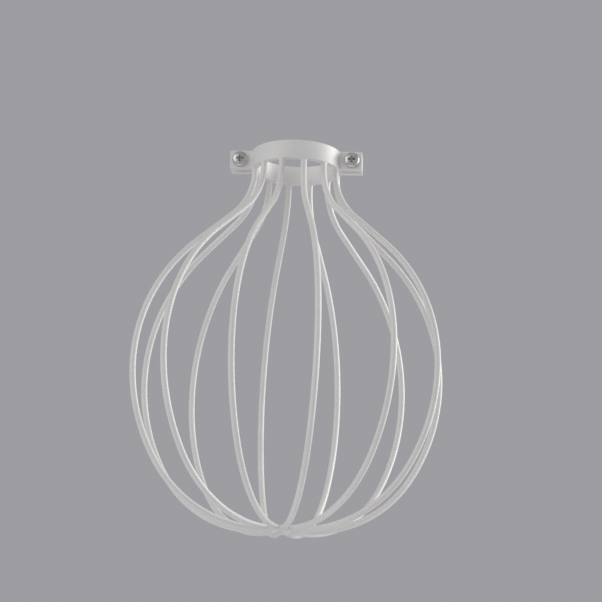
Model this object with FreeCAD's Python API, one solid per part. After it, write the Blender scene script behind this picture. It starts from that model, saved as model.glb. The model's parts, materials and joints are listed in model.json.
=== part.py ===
"""Guard of bent wires under a split clamp collar, in millimetres, +Z up.

The origin is the middle of the split collar, on the axis of its bore.
-Y is the front half of the collar, and the clamp ears stand out along X.
Twelve bent wires are welded to the collar's lower edge and to a small ring at the bottom.
"""
import FreeCAD, Part
import math
import os
from FreeCAD import Vector

# Collar: two halves of bent steel strip, sizes over the coating
holder_r = 20.0
strip_t = 3.4
strip_h = 9.6
ear_gap = 3.6
ear_len = 10.5
ear_bend_r = 1.4
ear_corner_r = 0.9

# Clamp screws and nuts
screw_d = 4.0
screw_hole_play = 0.25
head_d = 8.0
head_h = 2.7
head_rim_h = 0.9
recess_w = 1.1
recess_span = 4.4
recess_depth = 1.5
nut_flats = 7.0
nut_h = 3.2
thread_past_nut = 2.4
tip_chamfer = 0.5

# Cage wires: the bends of one wire, from the collar down to the ring
wires_per_half = 6
wire_d = 3.2
cage_d = 162.0
neck_run = 2.0
neck_bend_r = 33.0
shoulder_run = 23.0
widest_drop = 108.5
bottom_drop = 80.5
belly_turn = 32.0
bottom_run = 2.0
weld_leg = 1.3
weld_w = 2.4

# Ring that closes the cage at the bottom
ring_d = 19.0
ring_hole_d = 9.0
ring_t = 2.2
ring_edge_r = 0.3

# Worked out from the sizes above
strip_mid_r = holder_r + strip_t / 2
collar_low = -strip_h / 2
ear_mid_y = (ear_gap + strip_t) / 2
ear_face_y = ear_gap / 2 + strip_t
bend_mid_r = ear_bend_r + strip_t / 2
bend_x = math.sqrt((strip_mid_r + bend_mid_r) ** 2 - (ear_mid_y + bend_mid_r) ** 2)
ear_reach = bend_x + ear_len
screw_x = bend_x + ear_len / 2
wire_r = wire_d / 2
widest_r = cage_d / 2 - wire_r
ring_r = ring_d / 2
ring_mid_z = collar_low - widest_drop - bottom_drop

up = Vector(0, 0, 1)
back = Vector(0, 1, 0)


def circles_at(shape, axis, height):
    """Round edges of a shape whose centre lies at the given height along an axis."""
    rounds = [edge for edge in shape.Edges if isinstance(edge.Curve, Part.Circle)]
    return [edge for edge in rounds if math.isclose(edge.Curve.Center.dot(axis), height, abs_tol=1e-6)]


def line_from(start, angle, length):
    """Straight run in the XZ plane, turned outward by angle from straight down, and its end point."""
    end = start + Vector(math.sin(angle), 0, -math.cos(angle)) * length
    return Part.makeLine(start, end), end


def arc_from(start, angle, turn, radius):
    """Arc from start at that angle, turning outward, or inward if turn is below 0, and its end point."""
    side = math.copysign(radius, turn)
    centre = start + Vector(math.cos(angle), 0, math.sin(angle)) * side

    def at(a):
        return centre - Vector(math.cos(a), 0, math.sin(a)) * side

    end = at(angle + turn)
    return Part.Arc(start, at(angle + turn / 2), end).toShape(), end


def shoulder_bend():
    """Radius and turn of the arc that brings the shoulder to plumb at the cage's widest place.

    The neck bend and the shoulder bend turn by the same angle with a straight run between them,
    and together they reach from the collar to the widest place, sideways and down.
    """
    across = widest_r - strip_mid_r
    down = widest_drop - neck_run
    both_radii = (across ** 2 + down ** 2 - shoulder_run ** 2) / (2 * across)
    turn = math.atan2(down, both_radii - across) - math.atan2(shoulder_run, both_radii)
    return both_radii - neck_bend_r, turn


def belly_bends():
    """Radii of the side and bottom arcs, which turn the wire from plumb to level between them."""
    across = widest_r - ring_r - bottom_run
    c = math.cos(math.radians(belly_turn))
    s = math.sin(math.radians(belly_turn))
    side_radius = (across * (1 - s) - bottom_drop * c) / (1 - c - s)
    bottom_radius = (bottom_drop * (1 - c) - across * s) / (1 - c - s)
    return side_radius, bottom_radius


def wire_path():
    """Centre line of one wire in the XZ plane, from the collar's lower edge into the ring."""
    shoulder_r, neck_turn = shoulder_bend()
    side_r, bottom_r = belly_bends()
    side_turn = math.radians(belly_turn)
    level = math.radians(90)
    start = Vector(strip_mid_r, 0, collar_low)
    neck, point = line_from(start, 0, neck_run)
    neck_bend, point = arc_from(point, 0, neck_turn, neck_bend_r)
    shoulder, point = line_from(point, neck_turn, shoulder_run)
    shoulder_arc, point = arc_from(point, neck_turn, -neck_turn, shoulder_r)
    side_arc, point = arc_from(point, 0, -side_turn, side_r)
    bottom_arc, point = arc_from(point, -side_turn, side_turn - level, bottom_r)
    into_ring, point = line_from(point, -level, bottom_run + wire_r)
    return Part.Wire([neck, neck_bend, shoulder, shoulder_arc, side_arc, bottom_arc, into_ring])


def weld_foot():
    """Fillet of weld on both sides of the +X wire where it meets the collar, narrower than the strip."""
    width = min(weld_w, strip_t)
    length = wire_d + 2 * weld_leg
    low = collar_low - weld_leg
    cone = Part.makeCone(wire_r, wire_r + weld_leg, weld_leg, Vector(strip_mid_r, 0, low))
    slab = Part.makeBox(width, length, weld_leg, Vector(strip_mid_r - width / 2, -length / 2, low))
    return cone.common(slab)


def bent_rod():
    """The +X wire without its weld, its lower end coped to the ring's rim."""
    section = Part.Wire([Part.makeCircle(wire_r, Vector(strip_mid_r, 0, collar_low), up)])
    rod = wire_path().makePipeShell([section], True, False)
    ring_space = Part.makeCylinder(ring_r, 2 * wire_d, Vector(0, 0, ring_mid_z - wire_d))
    return rod.cut(ring_space)


def half_cage(half_turn):
    """The front half's wires, each with a weld foot trimmed to the strip above, turned by half_turn."""
    rod = bent_rod()
    foot = weld_foot()
    under_strip = Part.Face(strip_plan()).extrude(up * -weld_leg)
    under_strip.translate(up * collar_low)
    pitch = 180 / wires_per_half
    wires = []
    for i in range(wires_per_half):
        angle = -180 + pitch * (i + 0.5)
        trimmed = foot.rotated(Vector(), up, angle).common(under_strip)
        wire = rod.rotated(Vector(), up, angle).fuse(trimmed).removeSplitter()
        wires.append(wire.rotated(Vector(), up, half_turn))
    return wires


def strip_face_plan(offset):
    """Plan of one long face of the front strip, that far outward from the strip's middle.

    It runs from the left ear's end, round the bend, along the band and out to the right ear's end.
    """
    ear_y = -ear_mid_y - offset
    centre = Vector(bend_x, -ear_mid_y - bend_mid_r, 0)
    outward = centre / centre.Length
    band_end = outward * (strip_mid_r + offset)
    bend_end = Vector(bend_x, ear_y, 0)
    bend_mid = centre + (back - outward).normalize() * (bend_mid_r - offset)
    ear_end = Vector(ear_reach, ear_y, 0)

    def left(p):
        return Vector(-p.x, p.y, p.z)

    return [
        Part.makeLine(left(ear_end), left(bend_end)),
        Part.Arc(left(bend_end), left(bend_mid), left(band_end)).toShape(),
        Part.Arc(left(band_end), Vector(0, -strip_mid_r - offset, 0), band_end).toShape(),
        Part.Arc(band_end, bend_mid, bend_end).toShape(),
        Part.makeLine(bend_end, ear_end),
    ]


def ear_end_line(x):
    """Square cut across the strip at the end of an ear."""
    return Part.makeLine(Vector(x, -ear_face_y, 0), Vector(x, -ear_gap / 2, 0))


def strip_plan():
    """Closed outline of the front strip, seen from above."""
    edges = strip_face_plan(strip_t / 2) + strip_face_plan(-strip_t / 2)
    edges += [ear_end_line(-ear_reach), ear_end_line(ear_reach)]
    return Part.Wire(Part.__sortEdges__(edges))


def collar_half():
    """Front half of the collar: band, two bends and two drilled ears with rounded corners."""
    half = Part.Face(strip_plan()).extrude(up * strip_h)
    half.translate(up * collar_low)
    ear_corners = [e for e in half.Edges if math.isclose(e.BoundBox.YLength, e.Length, rel_tol=1e-6)]
    half = half.makeFillet(min(ear_corner_r, strip_h / 3), ear_corners)
    hole_r = screw_d / 2 + screw_hole_play
    for x in (-screw_x, screw_x):
        half = half.cut(Part.makeCylinder(hole_r, ear_face_y, Vector(x, -ear_face_y, 0), back))
    return half


def clamp_screw(x):
    """Pan head screw with a cross recess: its head seats on the front ear and its shank runs back."""
    shank_l = 2 * ear_face_y + nut_h + thread_past_nut
    head = Part.makeCylinder(head_d / 2, head_h, back * -head_h, back)
    head = head.makeFillet(min(head_h - head_rim_h, head_d / 3), circles_at(head, back, -head_h))
    shank = Part.makeCylinder(screw_d / 2, shank_l, Vector(), back)
    shank = shank.makeChamfer(tip_chamfer, circles_at(shank, back, shank_l))
    screw = head.fuse(shank).removeSplitter()
    for span_x, span_z in ((recess_span, recess_w), (recess_w, recess_span)):
        corner = Vector(-span_x / 2, -head_h - recess_depth, -span_z / 2)
        screw = screw.cut(Part.makeBox(span_x, 2 * recess_depth, span_z, corner))
    screw.translate(Vector(x, -ear_face_y, 0))
    return screw


def clamp_nut(x):
    """Hexagon nut behind the rear ear, its corners turned off at 30 degrees on both faces."""
    corner_r = nut_flats / math.sqrt(3)
    turns = [math.radians(60 * i) for i in range(7)]
    hexagon = Part.makePolygon([Vector(corner_r * math.cos(t), 0, corner_r * math.sin(t)) for t in turns])
    nut = Part.Face(hexagon).extrude(back * nut_h)
    face_r = nut_flats / 2
    waist_r = face_r + nut_h / 2 * math.sqrt(3)
    lower = Part.makeCone(face_r, waist_r, nut_h / 2, Vector(), back)
    upper = Part.makeCone(waist_r, face_r, nut_h / 2, back * (nut_h / 2), back)
    nut = nut.common(lower.fuse(upper)).cut(Part.makeCylinder(screw_d / 2, nut_h, Vector(), back))
    nut.translate(Vector(x, ear_face_y, 0))
    return nut


def bottom_ring():
    """Flat ring with its edges broken, level with the wires' ends."""
    low = up * (ring_mid_z - ring_t / 2)
    ring = Part.makeCylinder(ring_r, ring_t, low).cut(Part.makeCylinder(ring_hole_d / 2, ring_t, low))
    rims = [edge for edge in ring.Edges if isinstance(edge.Curve, Part.Circle)]
    return ring.makeFillet(min(ring_edge_r, ring_t / 4), rims)


def build():
    """All pieces by name. The rear half of the collar is the front one turned about the axis."""
    half = collar_half()
    pieces = {}
    for side, half_turn in (("front", 0), ("rear", 180)):
        pieces["collar_" + side] = half.rotated(Vector(), up, half_turn)
        for i, wire in enumerate(half_cage(half_turn)):
            pieces["wire_%s_%d" % (side, i + 1)] = wire
    pieces["bottom_ring"] = bottom_ring()
    for side, x in (("left", -screw_x), ("right", screw_x)):
        pieces["clamp_screw_" + side] = clamp_screw(x)
        pieces["clamp_nut_" + side] = clamp_nut(x)
    return pieces


def main():
    os.makedirs("parts", exist_ok=True)
    for name, shape in build().items():
        shape.exportStep("parts/%s.step" % name)
        print(name, "solids", len(shape.Solids), "volume", round(shape.Volume, 1), "valid", shape.isValid())


main()
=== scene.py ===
# %% [markdown]
# A cage guard: bent round wires, powder coated white, under a split clamp collar.
# The imported model gives the frame: every node's place and size is read from it, in metres, with
# +Z up. The first cell loads it and keeps its box, which the last cell prints beside the finished
# one's.

# %% Load the frame
import json
import math

import bmesh
import bpy
import numpy as np
from mathutils import Matrix, Vector


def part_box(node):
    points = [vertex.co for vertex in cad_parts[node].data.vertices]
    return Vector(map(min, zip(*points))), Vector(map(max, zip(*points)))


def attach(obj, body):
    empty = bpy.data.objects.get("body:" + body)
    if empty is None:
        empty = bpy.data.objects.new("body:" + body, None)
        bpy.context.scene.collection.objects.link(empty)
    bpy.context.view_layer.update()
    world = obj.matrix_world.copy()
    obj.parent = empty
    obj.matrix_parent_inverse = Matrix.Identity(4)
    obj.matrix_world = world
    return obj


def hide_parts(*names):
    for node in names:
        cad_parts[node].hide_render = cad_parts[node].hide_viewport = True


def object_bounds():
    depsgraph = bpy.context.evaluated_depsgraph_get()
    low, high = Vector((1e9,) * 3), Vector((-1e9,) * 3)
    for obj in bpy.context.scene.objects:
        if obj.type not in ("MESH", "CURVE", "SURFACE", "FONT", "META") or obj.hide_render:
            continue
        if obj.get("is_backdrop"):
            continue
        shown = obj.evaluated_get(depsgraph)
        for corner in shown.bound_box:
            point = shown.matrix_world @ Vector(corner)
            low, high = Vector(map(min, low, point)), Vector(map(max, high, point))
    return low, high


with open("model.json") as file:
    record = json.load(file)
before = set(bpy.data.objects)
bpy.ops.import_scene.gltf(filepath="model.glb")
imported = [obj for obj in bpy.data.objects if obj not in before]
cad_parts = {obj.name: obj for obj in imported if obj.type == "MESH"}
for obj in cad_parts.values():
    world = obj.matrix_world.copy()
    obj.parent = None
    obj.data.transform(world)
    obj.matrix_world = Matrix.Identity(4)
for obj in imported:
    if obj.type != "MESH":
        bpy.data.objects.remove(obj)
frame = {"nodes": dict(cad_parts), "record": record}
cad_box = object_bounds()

MM = 0.001
FULL_TURN = 2 * math.pi
print("nodes", len(frame["nodes"]))
print("box in mm", [[round(v / MM, 1) for v in corner] for corner in cad_box])

# %% [markdown]
# Most pieces here are surfaces on a grid of points: rows along the piece and columns round it.
# Blender's own primitives could be stretched instead, but a grid keeps each shape one formula.
# The faces join each point to its neighbours by their numbers, so the last column closes onto the
# first. The ends are closed by one flat face each, or by joining the last row to the first.
# The shading is smooth, apart from the edges that bend by more than the crease angle.

# %% Turn a grid of points into a closed mesh
crease = math.radians(38)


def grid_faces(rows, columns, ring):
    """Face at row i, column j: that point, its neighbours in j+1 and i+1, and the one across.

    Columns always close onto the first one. Rows do so in a ring, and otherwise a flat face
    closes each end.
    """
    first_rows = np.arange(rows if ring else rows - 1)
    i, j = np.meshgrid(first_rows, np.arange(columns), indexing="ij")
    this_row, next_row = i * columns, (i + 1) % rows * columns
    next_j = (j + 1) % columns
    corners = (this_row + j, this_row + next_j, next_row + next_j, next_row + j)
    faces = np.stack(corners, -1).reshape(-1, 4).tolist()
    if not ring:
        faces.append(list(range(columns))[::-1])
        faces.append(list(range((rows - 1) * columns, rows * columns)))
    return faces


def signed_volume(mesh):
    """Sum over the triangles of a dot (b cross c) / 6, above 0 where the faces point outward."""
    mesh.calc_loop_triangles()
    corners = np.empty(len(mesh.loop_triangles) * 3, np.int32)
    mesh.loop_triangles.foreach_get("vertices", corners)
    points = np.empty(len(mesh.vertices) * 3, np.float32)
    mesh.vertices.foreach_get("co", points)
    a, b, c = points.reshape(-1, 3).astype(float)[corners.reshape(-1, 3)].transpose(1, 0, 2)
    return float(np.einsum("ij,ij->i", a, np.cross(b, c)).sum() / 6)


def shade(mesh):
    """Smooth over bends, with the edges that bend by more than the crease angle kept sharp."""
    mesh.shade_smooth()
    mesh.set_sharp_from_angle(angle=crease)


def add_object(name, data):
    """An object at the origin for a mesh, a lamp or a camera, put into the scene."""
    item = bpy.data.objects.new(name, data)
    bpy.context.scene.collection.objects.link(item)
    return item


def surface(name, points, ring=False):
    """A closed piece, its faces outward, from a grid of points: rows by columns by x, y, z."""
    mesh = bpy.data.meshes.new(name)
    mesh.from_pydata(points.reshape(-1, 3).tolist(), [], grid_faces(*points.shape[:2], ring))
    if signed_volume(mesh) < 0:
        mesh.flip_normals()
    shade(mesh)
    return add_object(name, mesh)


print("faces of a closed tube with 3 rows of 4 points:", len(grid_faces(3, 4, False)))

# %% [markdown]
# Wire and strip are bent in a plane, so both are described as a bender would set them up: runs,
# each with its length, the angle that it turns through and the number of steps it is cut into.
# A curve object could be drawn through points by hand, but its bends wouldn't be true arcs.
# Within a run the heading changes evenly, so the heading at any length is a straight-line
# interpolation, and the points follow by adding up the short chords. Straight runs turn by nothing.


# %% A line bent in a plane
def bent_line(start, heading, runs):
    """Lengths, points and headings along runs of (length, turn, steps).

    The heading at a length is interpolated between the runs' ends. A chord's direction is the mean
    of the headings at its ends, and its length is the arc's times sin(half turn) / (half turn).
    """
    run_lengths, turns, steps = zip(*runs)
    ends = np.concatenate([[0], np.cumsum(run_lengths)])
    turned = heading + np.concatenate([[0], np.cumsum(turns)])
    spans = zip(ends[:-1], ends[1:], steps)
    cuts = [np.linspace(a, b, n, endpoint=False) for a, b, n in spans]
    lengths = np.append(np.concatenate(cuts), ends[-1])
    headings = np.interp(lengths, ends, turned)
    half_turn = np.diff(headings) / 2
    chords = np.diff(lengths) * np.sinc(half_turn / math.pi)
    middle = headings[:-1] + half_turn
    moves = chords[:, None] * np.stack([np.cos(middle), np.sin(middle)], -1)
    points = np.asarray(start) + np.concatenate([np.zeros((1, 2)), np.cumsum(moves, axis=0)])
    return lengths, points, headings


def carry(points, headings, sideways, across):
    """Carries a section along a bent line: each point moves sideways, to the left of the heading.

    The result has the plane's two coordinates and, as the third, the section's own distance
    across the plane.
    """
    left = np.stack([-np.sin(headings), np.cos(headings)], -1)
    in_plane = points[:, None, :] + sideways[..., None] * left[:, None, :]
    return np.concatenate([in_plane, across[..., None]], -1)


def turned_about_z(points, angle):
    """Points turned about the upright axis: x and y mix by the angle's cosine and sine."""
    c, s = math.cos(angle), math.sin(angle)
    x, y, z = np.moveaxis(points, -1, 0)
    return np.stack([c * x - s * y, s * x + c * y, z], -1)


quarter_arc = bent_line((0, 0), 0, [(math.pi / 2, math.pi / 2, 8)])[1]
print("a quarter turn of radius 1 ends at", np.round(quarter_arc[-1], 6))

# %% [markdown]
# The collar is two halves of strip. The frame's boxes give its height, its reach and its gap, and
# the record's clamp mount gives the bore. Only the bend at the ear's root isn't in a box.
# Powder coat rounds every edge softly. A Bevel modifier could round a plain strip, but the ears'
# corners are rounder than the long edges, so each kind would need a weight of its own. Here the
# section itself is a rectangle with round corners, and near an ear's end it shrinks along two
# quarter circles, which rounds the end as well.

# %% Sizes of the collar
collar_low, collar_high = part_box("collar_front")
bore_r = frame["record"]["mounts"][0]["dims"]["r_mm"] * MM
strip_h = collar_high.z - collar_low.z
strip_t = -collar_low.y - bore_r
ear_reach = collar_high.x
ear_mid_y = -collar_high.y + strip_t / 2
ear_bend_r = 1.4 * MM
ear_corner_r = 0.4 * MM
coat_edge_r = 0.22 * MM

band_r = bore_r + strip_t / 2
bend_r = ear_bend_r + strip_t / 2
bend_x = math.sqrt((band_r + bend_r) ** 2 - (ear_mid_y + bend_r) ** 2)
bend_turn = math.acos((ear_mid_y + bend_r) / (band_r + bend_r))
print("strip", round(strip_t / MM, 2), "by", round(strip_h / MM, 2), "mm")
print("ears to", round(ear_reach / MM, 2), "mm")


# %% The collar's two halves
def rounded_box(half_a, half_b, corner_r, steps=5):
    """Columns round a box with round corners: a corner's centre plus its radius times a direction.

    half_a and half_b may be arrays, one value a row. Each corner takes a quarter turn in equal
    steps.
    """
    quarter = np.linspace(0, math.pi / 2, steps + 1)
    angle = np.concatenate([quarter + k * math.pi / 2 for k in range(4)])
    sign_a = np.repeat([1, -1, -1, 1], steps + 1)
    sign_b = np.repeat([1, 1, -1, -1], steps + 1)
    a = sign_a * (np.reshape(half_a, (-1, 1)) - corner_r) + corner_r * np.cos(angle)
    b = sign_b * (np.reshape(half_b, (-1, 1)) - corner_r) + corner_r * np.sin(angle)
    return a, b


def rounding(distance, radius):
    """How far a round end draws in: its radius minus a circle's height that far from the tip."""
    short = np.clip(radius - distance, 0, radius)
    return radius - np.sqrt(radius ** 2 - short ** 2)


def collar_half(name, angle):
    """The strip bent as ear, bend, band, bend and ear, with its section drawn in at both ends."""
    ear = ear_reach - bend_x
    tip = ear_corner_r
    runs = [
        (tip, 0, 14),
        (ear - tip, 0, 12),
        (bend_r * bend_turn, -bend_turn, 14),
        (2 * band_r * bend_turn, 2 * bend_turn, 96),
        (bend_r * bend_turn, -bend_turn, 14),
        (ear - tip, 0, 12),
        (tip, 0, 14),
    ]
    lengths, points, headings = bent_line((-ear_reach, -ear_mid_y), 0, runs)
    to_tip = np.minimum(lengths, lengths[-1] - lengths)
    half_t = strip_t / 2 - rounding(to_tip, coat_edge_r)
    half_h = strip_h / 2 - rounding(to_tip, ear_corner_r)
    sideways, across = rounded_box(half_t, half_h, coat_edge_r)
    return surface(name, turned_about_z(carry(points, headings, sideways, across), angle))


collar_halves = {
    "collar_front": collar_half("collar_front_strip", 0),
    "collar_rear": collar_half("collar_rear_strip", math.pi),
}
for node, piece in collar_halves.items():
    print(node, "volume in mm3", round(signed_volume(piece.data) / MM ** 3, 1))

# %% [markdown]
# Each ear has a clearance hole for its screw. The strip's grid could be woven round it by hand,
# but drilling is simpler, as in the workshop: the drill is a closed tube that runs through both
# ears, and Blender's Boolean modifier takes it out of the strip. The modifier is applied at once,
# so no cutter stays behind, and points that a cut leaves almost in one place are merged.
# The same cut makes the recess in a screw head later.

# %% Drill the ears
screw_low, screw_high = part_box("clamp_screw_right")
screw_x = (screw_low.x + screw_high.x) / 2
hole_r = 2.25 * MM
drill_columns = 48
merge_gap = 0.001 * MM


def full_circle(columns):
    """Angles evenly spread over a full turn. The last stops short of the first by one step."""
    return np.linspace(0, FULL_TURN, columns, endpoint=False)


def turned_along_y(name, x, along, radius, ring=False):
    """A surface turned about a line along Y: at angle t, x is off by r cos t and z by r sin t.

    There is a row for each place along the line and a column for each angle. The radius has a
    value for each column, or for each row and column.
    """
    y, r = np.broadcast_arrays(along[:, None], radius)
    t = full_circle(r.shape[1])
    return surface(name, np.stack([x + r * np.cos(t), y, r * np.sin(t)], -1), ring)


def drill(x):
    """A round bar along Y through both ears, with one row at each end."""
    ends = np.array([-bore_r, bore_r])
    return turned_along_y("drill", x, ends, np.full(drill_columns, hole_r))


def cut_away(piece, cutter):
    """Takes the cutter's space out of the piece for good, and removes the cutter.

    Where the cutter's edge passes very close to a point of the piece, the cut leaves two points
    almost in one place. Those are merged.
    """
    cut = piece.modifiers.new("cut", "BOOLEAN")
    cut.operation = "DIFFERENCE"
    cut.solver = "EXACT"
    cut.object = cutter
    graph = bpy.context.evaluated_depsgraph_get()
    mesh = bpy.data.meshes.new_from_object(piece.evaluated_get(graph))
    piece.modifiers.clear()
    old_mesh, piece.data = piece.data, mesh
    bpy.data.meshes.remove(old_mesh)
    bpy.data.objects.remove(cutter)
    loose = bmesh.new()
    loose.from_mesh(mesh)
    bmesh.ops.remove_doubles(loose, verts=loose.verts, dist=merge_gap)
    loose.to_mesh(mesh)
    loose.free()
    shade(mesh)


for piece in collar_halves.values():
    for x in (-screw_x, screw_x):
        cut_away(piece, drill(x))
    print(piece.name, "faces", len(piece.data.polygons))

# %% [markdown]
# A wire leaves the collar straight down, bends out over the shoulder, comes back to plumb at the
# cage's widest place and sweeps under in two arcs to the ring. It could be drawn point by point,
# but a bender makes straight runs and arcs, and few sizes describe them. The two shoulder bends
# turn by the same angle, with a straight run between them, and the two belly arcs meet without a
# kink, so both pairs follow from the sizes they span.

# %% Sizes of a wire
ring_low, ring_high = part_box("bottom_ring")
ring_r = ring_high.x
ring_z = (ring_low.z + ring_high.z) / 2
wire_r = 1.6 * MM
widest_r = 79.4 * MM
neck_run = 2 * MM
neck_bend_r = 33 * MM
shoulder_run = 23 * MM
widest_drop = 108.5 * MM
belly_turn = math.radians(32)
bottom_run = 2 * MM


def shoulder_bends():
    """Turn of both bends and the second one's radius, from the distances that they span."""
    across = widest_r - band_r
    down = widest_drop - neck_run
    both_radii = (across ** 2 + down ** 2 - shoulder_run ** 2) / (2 * across)
    turn = math.atan2(down, both_radii - across) - math.atan2(shoulder_run, both_radii)
    return turn, both_radii - neck_bend_r


def belly_bends():
    """Radii of the side and bottom arcs, from plumb at the widest place to level at the ring."""
    across = widest_r - ring_r - bottom_run
    down = collar_low.z - widest_drop - ring_z
    c, s = math.cos(belly_turn), math.sin(belly_turn)
    side_r = (across * (1 - s) - down * c) / (1 - c - s)
    bottom_r = (down * (1 - c) - across * s) / (1 - c - s)
    return side_r, bottom_r


shoulder_turn, shoulder_r = shoulder_bends()
side_r, bottom_r = belly_bends()
print("radii in mm: neck", neck_bend_r / MM, "shoulder", round(shoulder_r / MM, 1))
print("and at the belly: side", round(side_r / MM, 1), "bottom", round(bottom_r / MM, 1))

# %% [markdown]
# The wire's weld to the collar is a small fillet on its two sides, where the strip has room for
# it, and almost none at the front and back, where wire and strip are equally thick.
# A bead of its own could be laid round each joint, but as part of the wire's surface the fillet
# leaves no seam: the radius grows near the end, more at the sides than in front.
# The ring is thinner than the wire, so there the weld also runs in over the ring's two faces,
# where it narrows and flattens like a tongue and sinks into them.
# A weld is laid by hand, so each one is a little longer or shorter and its rim wavers. The numbers
# that vary it are drawn once from a seeded generator, so every run gives the same cage.

# %% The shape of a weld
welds = np.random.default_rng(7)
weld_leg = 1.3 * MM
ring_weld_leg = 1.8 * MM
ring_weld_side = 0.6 * MM
leg_varies = 0.08
rim_varies = 0.05
rim_waves = 4
tongue_end = 0.97
sunk = 0.06 * MM


def fillet(distance, leg):
    """Height of a hollow fillet: 1 at its root, and 0 from one leg's length away from it."""
    t = np.clip(distance / leg, 0, 1)
    return 1 - np.sqrt(1 - (1 - t) ** 2)


def weld_growth(distance, angle, leg, sides):
    """Extra radius at a weld: the fillet's height, times its size at the sides, times a slow waver.

    The waver is 1 plus a few sine waves round the wire, of drawn heights and phases.
    """
    heights = welds.normal(0, rim_varies, rim_waves)
    phases = welds.uniform(0, FULL_TURN, rim_waves)
    waves = [k * np.sin((i + 1) * angle + p) for i, (k, p) in enumerate(zip(heights, phases))]
    length = leg * (1 + welds.normal(0, leg_varies))
    return fillet(distance, length)[:, None] * (sides * (1 + sum(waves)))[None]


def tongue(past_edge, radius):
    """Half height and half width past the ring's edge, where past_edge runs from 0 to 1.

    The height falls from the wire's to just under the ring's face along half a cosine wave.
    The width follows a quarter of an ellipse, so that the tongue ends round. It stops just short
    of the ellipse's tip, where the width would be nothing.
    """
    under_face = (ring_high.z - ring_low.z) / 2 - sunk
    fall = (1 + np.cos(math.pi * past_edge)) / 2
    height = under_face + (radius - under_face) * fall[:, None]
    return height, radius * np.sqrt(1 - (tongue_end * past_edge) ** 2)[:, None]


def flattened(wave, past_edge):
    """A cosine or sine raised to a power that falls from 1 to a half past the ring's edge.

    At 1 the section is round, and below 1 it is a superellipse, flatter above, below and at its
    sides.
    """
    return np.sign(wave) * np.abs(wave) ** (1 - past_edge[:, None] / 2)


fillet_heights = fillet(np.array([0, 0.5, 1]), 1)
print("height of a fillet at its root, half way and at its end:", np.round(fillet_heights, 2))

# %% [markdown]
# Now the wires themselves. A curve object with a round bevel would make the same wire, but not
# its welds. So each is the same bent line carried by a circle, turned to its own place round the
# axis, with the welds of its two ends added to the circle's radius. Its first end is sunk a
# little into the collar and its last one into the ring, so that no gap can open between them.

# %% The wires
inside_collar = 0.5 * MM
inside_ring = 1.6 * MM
wires_per_half = 6
wire_columns = 32
side_power = 4
quarter_turn = math.radians(90)


def cage_wire(name, angle):
    """The bent line carried by a circle, which is wider where it is welded.

    It is widened by a power of the column's sine, which is 1 at the wire's sides. Past the ring's
    edge the circle becomes the weld's flat tongue.
    """
    bottom_turn = quarter_turn - belly_turn
    runs = [
        (inside_collar, 0, 2),
        (neck_run, 0, 20),
        (neck_bend_r * shoulder_turn, shoulder_turn, 24),
        (shoulder_run, 0, 6),
        (shoulder_r * shoulder_turn, -shoulder_turn, 30),
        (side_r * belly_turn, -belly_turn, 22),
        (bottom_r * bottom_turn, -bottom_turn, 34),
        (bottom_run, 0, 20),
        (inside_ring, 0, 12),
    ]
    start = (band_r, collar_low.z + inside_collar)
    lengths, points, headings = bent_line(start, -quarter_turn, runs)
    ring_edge = lengths[-1] - inside_ring
    from_collar = np.maximum(lengths - inside_collar, 0)
    from_ring = np.maximum(ring_edge - lengths, 0)
    past_edge = np.maximum(lengths - ring_edge, 0) / inside_ring
    column = full_circle(wire_columns)
    at_sides = np.sin(column) ** side_power
    radius = wire_r + weld_growth(from_collar, column, weld_leg, weld_leg * at_sides)
    radius = radius + weld_growth(from_ring, column, ring_weld_leg, ring_weld_side * at_sides)
    height, width = tongue(past_edge, radius)
    upward, sideways = flattened(np.cos(column), past_edge), flattened(np.sin(column), past_edge)
    tube = carry(points, headings, height * upward, width * sideways)
    upright = tube[..., [0, 2, 1]]
    return surface(name, turned_about_z(upright, angle))


wires = {}
pitch = math.pi / wires_per_half
for side, first in (("front", -math.pi), ("rear", 0)):
    for i in range(wires_per_half):
        node = "wire_%s_%d" % (side, i + 1)
        wires[node] = cage_wire(node + "_bent", first + pitch * (i + 0.5))

low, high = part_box("wire_rear_1")
own = np.array([v.co for v in wires["wire_rear_1"].data.vertices])
print("first rear wire past its node's low corner, in mm:", np.round((own.min(0) - low) / MM, 2))
print("and past its high corner:", np.round((own.max(0) - high) / MM, 2))

# %% [markdown]
# The ring at the bottom is a thick washer with soft edges. Blender's torus is round in section,
# so the ring is turned instead: a small rounded section goes round the axis. Rows run round the
# ring and columns round its section, and the rows close into a ring too.

# %% The bottom ring
ring_hole_r = 4.5 * MM
ring_edge_r = 0.6 * MM
ring_rows = 96


def turned_ring(name):
    """At angle t, x and y are the section's distance out times cos t and sin t."""
    half_width = (ring_r - ring_hole_r) / 2
    half_height = (ring_high.z - ring_low.z) / 2
    outward, upward = rounded_box(half_width, half_height, ring_edge_r)
    radius = ring_hole_r + half_width + outward[0]
    t = full_circle(ring_rows)[:, None]
    points = np.stack([radius * np.cos(t), radius * np.sin(t), ring_z + upward[0] + 0 * t], -1)
    return surface(name, points, ring=True)


bottom_ring = turned_ring("bottom_ring_turned")
print("ring volume in mm3", round(signed_volume(bottom_ring.data) / MM ** 3, 1))

# %% [markdown]
# A clamp screw is turned too: its profile runs from the middle of the head over the crown, down
# under the head and along the shank to the tip. The crown is flat in the middle and round at the
# edge, as pan heads are, which a circle or an ellipse would miss. A superellipse has that shape:
# the third powers of the distance out and of the height, as shares of their full sizes, add up to
# one.

# %% Profile of a clamp screw
head_seat_y = -(ear_mid_y + strip_t / 2)
head_r = (screw_high.z - screw_low.z) / 2
head_h = head_seat_y - screw_low.y
head_rim_h = 0.9 * MM
head_foot_r = 0.25 * MM
crown_power = 3
crown_start, crown_rows = 0.01, 28
foot_rows = 5
shank_r = 2 * MM
tip_chamfer = 0.5 * MM
thread_pitch = 0.7 * MM
thread_step = thread_pitch / 10


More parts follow.
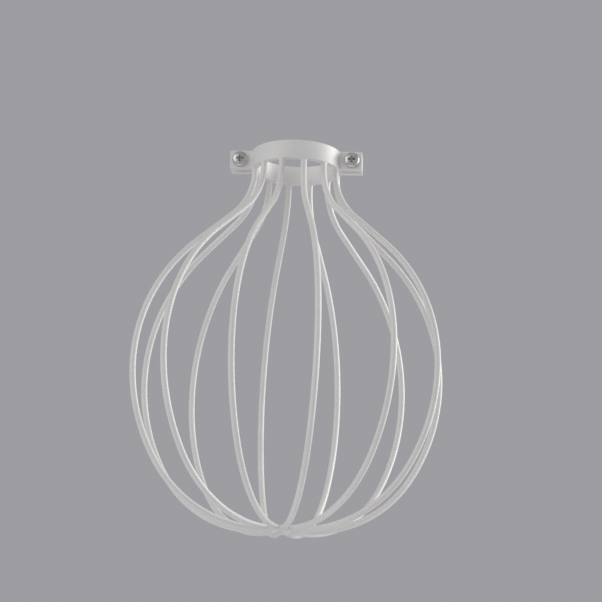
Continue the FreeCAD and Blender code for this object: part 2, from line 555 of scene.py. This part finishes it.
def screw_profile():
    """Radius and distance along the screw, from the top of the head to the tip.

    On the crown they follow sin t and cos t, both to the power of 2 / crown_power, and under the
    head a quarter circle.
    """
    t = np.linspace(crown_start, math.pi / 2, crown_rows)
    power = 2 / crown_power
    rim_y, crown_h = head_seat_y - head_rim_h, head_h - head_rim_h
    crown = (head_r * np.sin(t) ** power, rim_y - crown_h * np.cos(t) ** power)
    q = np.linspace(0, math.pi / 2, foot_rows)
    foot = (head_r - head_foot_r * (1 - np.cos(q)), head_seat_y - head_foot_r * (1 - np.sin(q)))
    along = np.arange(head_seat_y + thread_step, screw_high.y - tip_chamfer, thread_step)
    shank = (np.full(len(along), shank_r), along)
    tip = ([shank_r - tip_chamfer], [screw_high.y])
    radii, distances = zip(crown, foot, shank, tip)
    return np.concatenate(radii), np.concatenate(distances)


print("screw head", round(2 * head_r / MM, 2), "by", round(head_h / MM, 2), "mm")
print("rows in the profile", len(screw_profile()[0]))

# %% [markdown]
# A thread could be a helix swept along the shank, but it would meet it in many thin faces.
# Here it is one more term in the radius: a groove that climbs by one pitch in each turn and fades
# out at both ends. A driver's cross narrows downward to a small pit, so its cutter is lofted
# through three levels.

# %% The clamp screws
thread_depth = 0.22 * MM
plain_shank = 2 * MM
screw_columns = 40
recess_levels = (
    (-1 * MM, 4.9 * MM, 1.2 * MM),
    (1.5 * MM, 2.2 * MM, 0.8 * MM),
    (2.1 * MM, 0.5 * MM, 0.3 * MM),
)


def cross_cutter(x):
    """A cross lofted through the recess levels: each has its depth in the head, span and width.

    One arm's three corners are turned by a quarter again and again, which gives the four arms.
    """
    turn_matrix = np.array([[0, -1], [1, 0]])
    levels = []
    for depth, span, width in recess_levels:
        arm = np.array([[span, -width], [span, width], [width, width]]) / 2
        cross = np.concatenate([arm @ np.linalg.matrix_power(turn_matrix, k).T for k in range(4)])
        y = np.full(len(cross), screw_low.y + depth)
        levels.append(np.stack([x + cross[:, 0], y, cross[:, 1]], -1))
    return surface("cross", np.array(levels))


def clamp_screw(name, x):
    """The profile turned about the screw's axis, with the thread's groove and the cross cut out.

    The groove's depth at a place follows a triangle wave of the angle in turns minus the distance
    along in pitches.
    """
    radius, along = screw_profile()
    start, end = head_seat_y + plain_shank, screw_high.y - tip_chamfer
    fade_in, fade_out = (along - start) / thread_pitch, (end - along) / thread_pitch
    fade = np.clip(fade_in, 0, 1) * np.clip(fade_out, 0, 1)
    phase = full_circle(screw_columns) / FULL_TURN - along[:, None] / thread_pitch
    ridge = np.abs((phase % 1) * 2 - 1)
    threaded = radius[:, None] - thread_depth * fade[:, None] * (1 - ridge)
    piece = turned_along_y(name, x, along, threaded)
    cut_away(piece, cross_cutter(x))
    return piece


screws = {
    "clamp_screw_left": clamp_screw("clamp_screw_left_threaded", -screw_x),
    "clamp_screw_right": clamp_screw("clamp_screw_right_threaded", screw_x),
}
print("screw volume in mm3", round(signed_volume(screws["clamp_screw_left"].data) / MM ** 3, 1))

# %% [markdown]
# A hexagon nut is a ring whose outside is the nearer of two surfaces at each point: the six flats,
# and the shallow cones that turn its corners off at both faces. A six-sided prism could be cut
# with two cones, but taking the smaller radius of the two draws the same curved edges at once.

# %% The clamp nuts
nut_low, nut_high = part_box("clamp_nut_right")
nut_h = nut_high.y - nut_low.y
half_flats = (nut_high.z - nut_low.z) / 2
face_inset = 0.1 * MM
cone_depth = 0.45 * MM
cone_rows = 10
nut_columns = 96


def clamp_nut(name, x):
    """Outer radius: half the flats / cos(angle from the flat's middle), or the cone's if less.

    The cone's radius grows from the face inward by the square root of 3 times the depth, which is
    a slope of 30 degrees.
    """
    sixth = FULL_TURN / 6
    hexagon = half_flats / np.cos((full_circle(nut_columns) % sixth) - sixth / 2)
    depth = np.concatenate([np.linspace(0, cone_depth, cone_rows), [nut_h / 2]])
    cone = half_flats - face_inset + depth * math.sqrt(3)
    side = np.minimum(hexagon[None], cone[:, None])
    inner = np.full((1, nut_columns), shank_r)
    radius = np.concatenate([inner, side, side[:-1][::-1], inner])
    y = np.concatenate([[0], depth, nut_h - depth[:-1][::-1], [nut_h]]) + nut_low.y
    return turned_along_y(name, x, y, radius, ring=True)


nuts = {
    "clamp_nut_left": clamp_nut("clamp_nut_left_hex", -screw_x),
    "clamp_nut_right": clamp_nut("clamp_nut_right_hex", screw_x),
}
print("nut volume in mm3", round(signed_volume(nuts["clamp_nut_left"].data) / MM ** 3, 1))

# %% [markdown]
# A finish could be painted as a picture, but noises worked out at each point have no seams and no
# pixels. They take Object coordinates, which are metres here, so a noise has a real size and stays
# on its piece. A noise's value lies mostly in a middle range, and the helpers stretch that range
# to the values or colours that a finish asks for.

# %% Helpers for the materials
noise_low, noise_high = 0.3, 0.7


def node_material(name):
    """A new material, with its node tree and its Principled shader."""
    material = bpy.data.materials.new(name)
    material.use_nodes = True
    tree = material.node_tree
    return material, tree, tree.nodes["Principled BSDF"]


def noise_of(tree, size, detail=2.0):
    """Noise on Object coordinates whose features are about that size in metres."""
    place = tree.nodes.new("ShaderNodeTexCoord")
    noise = tree.nodes.new("ShaderNodeTexNoise")
    noise.inputs["Scale"].default_value = 1 / size
    noise.inputs["Detail"].default_value = detail
    tree.links.new(place.outputs["Object"], noise.inputs["Vector"])
    return noise


def spread(tree, source, low, high):
    """Maps a noise's middle range to the range from low to high, and gives the socket."""
    ranged = tree.nodes.new("ShaderNodeMapRange")
    ranged.inputs["From Min"].default_value = noise_low
    ranged.inputs["From Max"].default_value = noise_high
    ranged.inputs["To Min"].default_value = low
    ranged.inputs["To Max"].default_value = high
    tree.links.new(source.outputs["Fac"], ranged.inputs["Value"])
    return ranged.outputs["Result"]


def tint(tree, source, first, second):
    """Blends two colours over a noise's middle range, and gives the socket."""
    ramp = tree.nodes.new("ShaderNodeValToRGB")
    stops = zip(ramp.color_ramp.elements, (noise_low, noise_high), (first, second))
    for stop, position, colour in stops:
        stop.position = position
        stop.color = (*colour, 1)
    tree.links.new(source.outputs["Fac"], ramp.inputs["Fac"])
    return ramp.outputs["Color"]


def bump_of(tree, source, height):
    """Bump whose full height is given in metres, and gives the socket."""
    bump = tree.nodes.new("ShaderNodeBump")
    bump.inputs["Distance"].default_value = height
    tree.links.new(source.outputs["Fac"], bump.inputs["Height"])
    return bump.outputs["Normal"]


print("a noise's middle range is", noise_low, "to", noise_high)

# %% [markdown]
# Powder coat is a baked plastic skin: an even warm white with a satin shine. It flows as it bakes
# and sets with an orange peel, ripples between one and two millimetres long and about a hundredth
# of a millimetre high, which only the highlights show. They could be moved in the mesh, but a bump
# costs no faces. Where the coat lies a little thicker it is whiter and shinier, in broad patches,
# so one noise drives both.

# %% The white coat
patch_size = 22 * MM
peel_size = 1.6 * MM
peel_height = 0.035 * MM
thin_white, thick_white = (0.79, 0.78, 0.76), (0.83, 0.825, 0.81)
thin_roughness, thick_roughness = 0.44, 0.34
coat_ior = 1.5


def powder_coat():
    """Base colour and roughness follow one broad noise, and the normal a fine one."""
    material, tree, shader = node_material("white powder coat")
    shader.inputs["IOR"].default_value = coat_ior
    patches = noise_of(tree, patch_size)
    peel = noise_of(tree, peel_size, detail=0.0)
    colour = tint(tree, patches, thin_white, thick_white)
    roughness = spread(tree, patches, thin_roughness, thick_roughness)
    tree.links.new(colour, shader.inputs["Base Color"])
    tree.links.new(roughness, shader.inputs["Roughness"])
    tree.links.new(bump_of(tree, peel, peel_height), shader.inputs["Normal"])
    return material


white = powder_coat()
print("material", white.name, "with", len(white.node_tree.nodes), "nodes")

# %% [markdown]
# The screws and nuts are steel with a thin zinc plating: a pale grey metal with a cloudy shine,
# and fine marks from the tools that formed them. With one roughness all over it would look
# polished, so the clouds change both the grey and the roughness.

# %% The zinc plating
cloud_size = 1.6 * MM
mark_size = 0.18 * MM
mark_height = 0.008 * MM
dark_zinc, pale_zinc = (0.59, 0.58, 0.56), (0.77, 0.76, 0.74)
dark_roughness, pale_roughness = 0.26, 0.46


def zinc_plate():
    """Colour and roughness follow one cloudy noise, and the normal a much finer one."""
    material, tree, shader = node_material("zinc plate")
    shader.inputs["Metallic"].default_value = 1.0
    clouds = noise_of(tree, cloud_size, detail=4.0)
    marks = noise_of(tree, mark_size, detail=3.0)
    colour = tint(tree, clouds, dark_zinc, pale_zinc)
    roughness = spread(tree, clouds, dark_roughness, pale_roughness)
    tree.links.new(colour, shader.inputs["Base Color"])
    tree.links.new(roughness, shader.inputs["Roughness"])
    tree.links.new(bump_of(tree, marks, mark_height), shader.inputs["Normal"])
    return material


zinc = zinc_plate()
print("material", zinc.name, "with", len(zinc.node_tree.nodes), "nodes")

# %% [markdown]
# Each finished piece takes the place of its node, gets its material and rides on the one body.
# Each could be dressed where it is made, but one helper for all leaves none of them out.


# %% Dress the frame
def dress(pieces, material):
    """Gives each piece its material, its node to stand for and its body."""
    for node, piece in pieces.items():
        piece.data.materials.clear()
        piece.data.materials.append(material)
        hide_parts(node)
        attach(piece, "root")


dress({**collar_halves, **wires, "bottom_ring": bottom_ring}, white)
dress({**screws, **nuts}, zinc)

# %% [markdown]
# The guard hangs, so the floor is only a stage. It could lie just under the cage, but it lies so
# low that the cage can also be looked at from straight below, and it is so wide that it fills the
# picture in a view from above. It is pale and even, with faint clouds.

# %% The floor
floor_level = -1.4
floor_half = 8.0
floor_cloud = 0.5
floor_roughness = 0.8
floor_dark, floor_pale = (0.725, 0.715, 0.755), (0.745, 0.735, 0.775)


def add_floor():
    """A flat square at the floor's level: corners at -1 and 1, times half the square's side."""
    corners = np.array([[x, y, floor_level] for x, y in ((-1, -1), (1, -1), (1, 1), (-1, 1))])
    corners[:, :2] *= floor_half
    mesh = bpy.data.meshes.new("floor")
    mesh.from_pydata(corners.tolist(), [], [[0, 1, 2, 3]])
    material, tree, shader = node_material("pale floor")
    colour = tint(tree, noise_of(tree, floor_cloud), floor_dark, floor_pale)
    tree.links.new(colour, shader.inputs["Base Color"])
    shader.inputs["Roughness"].default_value = floor_roughness
    mesh.materials.append(material)
    floor = add_object("floor", mesh)
    floor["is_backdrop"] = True


add_floor()
print("floor", 2 * floor_half, "m wide,", -floor_level, "m below the collar")

# %% [markdown]
# The studio is plain: an even pale world for soft light from everywhere, a broad lamp from the
# right, as a window would stand, that lights the wires' right edges, a weaker one from the left
# front, and a faint one from below for the undersides. White wire would be lost against a backdrop
# as light as itself. A darker world would dim the wire too, so the world has two greys: the
# lighter one lights the coat, and the darker one is what the camera and all reflections see.


# %% Lamps and world
def add_lamp(name, direction, distance, size, power):
    """A square soft lamp that faces the cage's middle."""
    middle = (cad_box[0] + cad_box[1]) / 2
    lamp = bpy.data.lights.new(name, "AREA")
    lamp.size = size
    lamp.energy = power
    holder = add_object(name, lamp)
    holder.location = middle + Vector(direction).normalized() * distance
    holder.rotation_euler = (middle - holder.location).to_track_quat("-Z", "Y").to_euler()


def add_world(light, backdrop):
    """One even grey as the light, and another for camera, glossy and transmission rays."""
    world = bpy.data.worlds.new("studio")
    world.use_nodes = True
    tree = world.node_tree
    rays = tree.nodes.new("ShaderNodeLightPath")
    seen = rays.outputs["Is Camera Ray"]
    for kind in ("Is Glossy Ray", "Is Transmission Ray"):
        larger = tree.nodes.new("ShaderNodeMath")
        larger.operation = "MAXIMUM"
        tree.links.new(seen, larger.inputs[0])
        tree.links.new(rays.outputs[kind], larger.inputs[1])
        seen = larger.outputs["Value"]
    greys = tree.nodes.new("ShaderNodeValToRGB")
    greys.color_ramp.elements[0].color = (*light, 1)
    greys.color_ramp.elements[1].color = (*backdrop, 1)
    tree.links.new(seen, greys.inputs["Fac"])
    tree.links.new(greys.outputs["Color"], tree.nodes["Background"].inputs["Color"])
    bpy.context.scene.world = world


add_lamp("window side", direction=(1.0, 0.3, 0.25), distance=1.5, size=1.0, power=18)
add_lamp("left side", direction=(-0.9, -0.9, 0.45), distance=2.0, size=1.4, power=8.5)
add_lamp("from below", direction=(-0.3, -0.1, -1.0), distance=1.2, size=1.0, power=2)
add_world(light=(0.46, 0.46, 0.46), backdrop=(0.34, 0.335, 0.355))
bpy.context.scene.view_settings.view_transform = "Standard"

# %% [markdown]
# The camera stands in front, a little to the right and below, and looks up at the cage with a long
# lens. It could be moved by eye, but a few measured numbers are easier to correct one by one.
# It is first aimed at a point on the axis, then rolled, and last turned so that the point falls
# where the photograph has it. Those places and the focal length are in pixels of a picture that is
# 602 by 602, and the sensor's width is in millimetres.

# %% Camera
picture = 602
focal = 2247.3
sensor_width = 36
aim_drop = 0.1
aim_pixel = (288.5, 357.5)
camera_distance = 1.148
camera_azimuth = math.radians(5.27)
camera_elevation = math.radians(-14)
camera_roll = math.radians(2.4)


def add_camera():
    """Camera placed by angles about the aim point, and turned by the aim pixel's offset.

    That offset from the picture's middle is an angle: the arc tangent of pixels / focal length.
    """
    out = math.cos(camera_elevation)
    towards = Vector((
        math.sin(camera_azimuth) * out,
        -math.cos(camera_azimuth) * out,
        math.sin(camera_elevation),
    ))
    aimed = (-towards).to_track_quat("-Z", "Y").to_matrix()
    right = math.atan2(aim_pixel[0] - picture / 2, focal)
    down = math.atan2(aim_pixel[1] - picture / 2, focal)
    rolled = Matrix.Rotation(camera_roll, 3, "Z")
    turns = rolled @ Matrix.Rotation(right, 3, "Y") @ Matrix.Rotation(down, 3, "X")
    data = bpy.data.cameras.new("camera")
    data.sensor_width = sensor_width
    data.lens = focal / picture * sensor_width
    camera = add_object("camera", data)
    aim_point = Vector((0, 0, collar_low.z - aim_drop))
    place = Matrix.Translation(aim_point + towards * camera_distance)
    camera.matrix_world = place @ (aimed @ turns).to_4x4()
    bpy.context.scene.camera = camera
    return camera


print("lens in mm", round(add_camera().data.lens, 1))

# %% [markdown]
# The last cell prints both boxes, so that the finished model can be compared with the imported one.

boxes = {"cad": [list(v) for v in cad_box], "visual": [list(v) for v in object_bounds()]}
for name, box in boxes.items():
    print(name, [[round(v / MM, 2) for v in corner] for corner in box])
